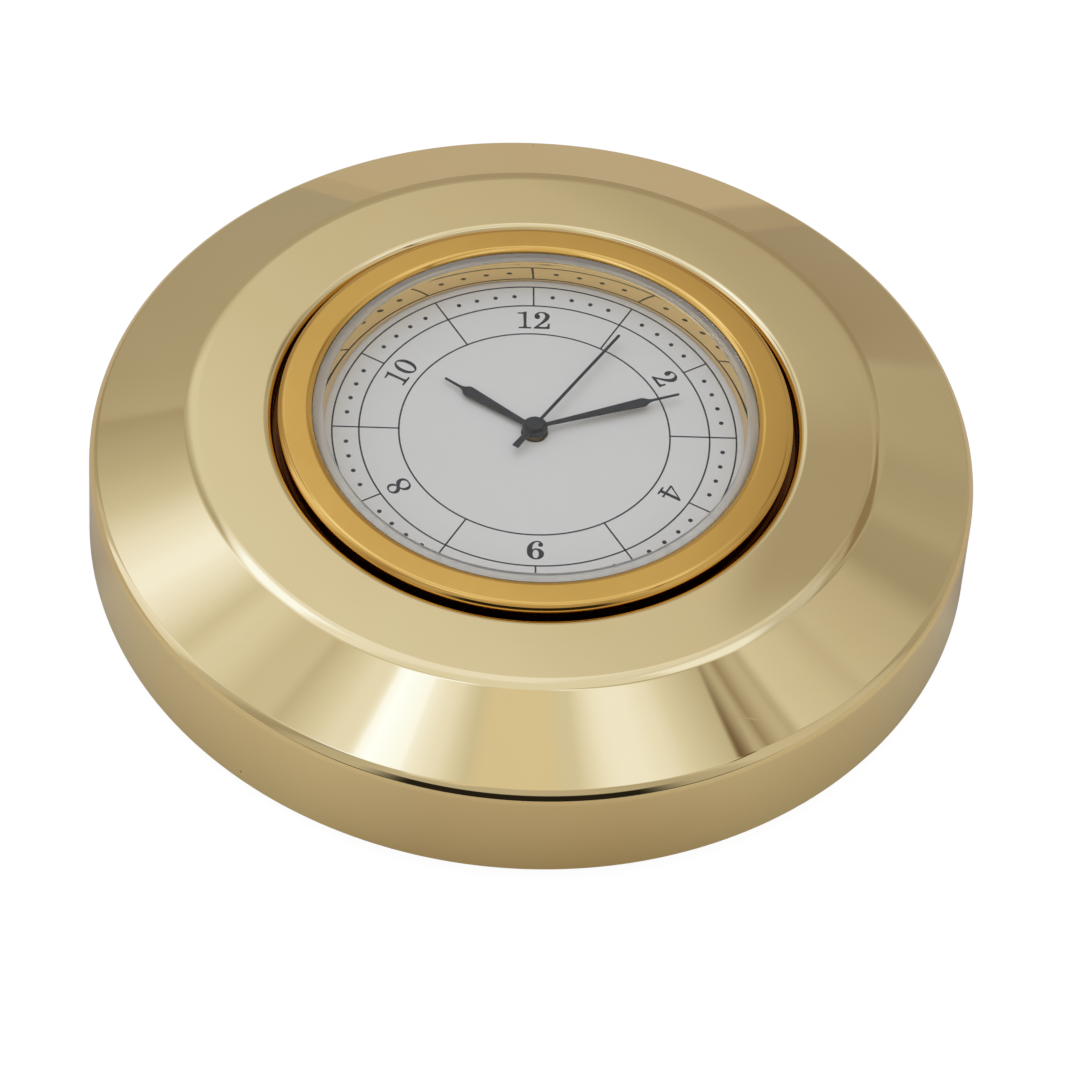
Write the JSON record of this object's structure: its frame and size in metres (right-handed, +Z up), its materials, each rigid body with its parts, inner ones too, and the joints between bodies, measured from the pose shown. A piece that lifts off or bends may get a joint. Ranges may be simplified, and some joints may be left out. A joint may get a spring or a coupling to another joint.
{
  "type": "chart weight clock",
  "caption": "Low round brass weight with a sloping shoulder and a felt base, carrying a lift-out quartz clock with a gilt bezel, flat crystal and black hands.",
  "frame": {"origin": "centre of the underside of the felt pad, where the weight rests on the desk", "axes": "+Z up through the dial, -Y towards six o'clock and the viewer, +X towards three o'clock"},
  "size_m": [0.0858, 0.0858, 0.0168],
  "materials": {
    "polished_brass": "polished, a little worn",
    "bezel_gold": "satin gilt",
    "reflector_gold": "mirror gilt",
    "felt": "felt",
    "crystal_glass": "clear flat glass",
    "gasket_nylon": "moulded",
    "plated_steel": "nickel plated",
    "grip_rubber": "matt",
    "dial_enamel": "matt silver grey",
    "hand_black": "satin black",
    "plate_plastic": "moulded",
    "wheel_plastic": "moulded",
    "wheel_brass": "stamped",
    "coil_copper": "enamelled copper wire",
    "board_laminate": "solder-masked laminate"
  },
  "bodies": {
    "weight": {"weight_body": "polished_brass", "felt_pad": "felt"},
    "insert": {"bezel": "bezel_gold", "crystal": "crystal_glass", "crystal_gasket": "gasket_nylon", "reflector_ring": "reflector_gold", "case_cup": "plated_steel", "grip_ring": "grip_rubber", "back_cover": "plated_steel", "dial": "dial_enamel", "main_plate": "plate_plastic", "train_bridge": "plate_plastic", "movement_spacer": "plate_plastic", "stator": "plated_steel", "coil_core": "plated_steel", "coil_bobbin": "plate_plastic", "coil_winding": "coil_copper", "battery": "plated_steel", "negative_contact": "plated_steel", "positive_contact": "plated_steel", "circuit_board": "board_laminate", "driver_chip": "hand_black", "quartz_can": "plated_steel", "bridge_screw_upper_left": "plated_steel", "bridge_screw_lower_left": "plated_steel", "bridge_screw_upper_right": "plated_steel", "board_screw_left": "plated_steel", "board_screw_right": "plated_steel", "coil_screw_lower": "plated_steel", "coil_screw_upper": "plated_steel"},
    "seconds": {"second_hand": "hand_black", "seconds_wheel": "wheel_brass"},
    "minutes": {"minute_hand": "hand_black", "cannon_pinion": "wheel_brass"},
    "hours": {"hour_hand": "hand_black", "hour_wheel": "wheel_brass"},
    "centre": {"centre_wheel": "wheel_brass"},
    "third": {"third_wheel": "wheel_brass"},
    "step": {"step_wheel": "wheel_plastic"},
    "rotor": {"rotor_pinion": "wheel_plastic", "rotor_magnet": "plated_steel"},
    "minute_work": {"minute_wheel": "wheel_plastic"},
    "setting": {"setting_arbor": "wheel_brass", "setting_knob": "wheel_plastic"},
    "cap": {"battery_cap": "plated_steel"}
  },
  "joints": [
    {"name": "insert_lift", "type": "slide", "parent": "weight", "child": "insert", "axis": [0, 0, 1], "range_m": [0, 0.014]},
    {"name": "second_hand_spin", "type": "hinge", "parent": "insert", "child": "seconds", "pos_m": [0, 0, 0.0098], "axis": [0, 0, -1], "continuous": true},
    {"name": "minute_hand_spin", "type": "hinge", "parent": "insert", "child": "minutes", "pos_m": [0, 0, 0.0125], "axis": [0, 0, -1], "continuous": true},
    {"name": "hour_hand_spin", "type": "hinge", "parent": "insert", "child": "hours", "pos_m": [0, 0, 0.0125], "axis": [0, 0, -1], "continuous": true},
    {"name": "centre_wheel_spin", "type": "hinge", "parent": "insert", "child": "centre", "pos_m": [0, 0, 0.0098], "axis": [0, 0, -1], "continuous": true},
    {"name": "third_wheel_spin", "type": "hinge", "parent": "insert", "child": "third", "pos_m": [0.0032, -0.00554, 0.009], "axis": [0, 0, -1], "continuous": true},
    {"name": "step_wheel_spin", "type": "hinge", "parent": "insert", "child": "step", "pos_m": [-0.0064, 0, 0.0085], "axis": [0, 0, -1], "continuous": true},
    {"name": "rotor_spin", "type": "hinge", "parent": "insert", "child": "rotor", "pos_m": [-0.00864, -0.00388, 0.0086], "axis": [0, 0, -1], "continuous": true},
    {"name": "minute_wheel_spin", "type": "hinge", "parent": "insert", "child": "minute_work", "pos_m": [0, 0.0048, 0.0118], "axis": [0, 0, -1], "continuous": true},
    {"name": "setting_knob_spin", "type": "hinge", "parent": "insert", "child": "setting", "pos_m": [0, 0.0096, 0.008], "axis": [0, 0, -1], "continuous": true},
    {"name": "battery_cap_turn", "type": "hinge", "parent": "insert", "child": "cap", "pos_m": [0.0116, 0.00459, 0.0052], "axis": [0, 0, -1], "range_deg": [0, 45]}
  ],
  "couplings": [
    {"joint": "third_wheel_spin", "follows": "second_hand_spin", "ratio": -0.125},
    {"joint": "centre_wheel_spin", "follows": "second_hand_spin", "ratio": 0.016667},
    {"joint": "step_wheel_spin", "follows": "second_hand_spin", "ratio": -5},
    {"joint": "rotor_spin", "follows": "second_hand_spin", "ratio": 30},
    {"joint": "minute_wheel_spin", "follows": "minute_hand_spin", "ratio": -0.33333},
    {"joint": "hour_hand_spin", "follows": "minute_hand_spin", "ratio": 0.083333},
    {"joint": "setting_knob_spin", "follows": "minute_hand_spin", "ratio": 1}
  ]
}
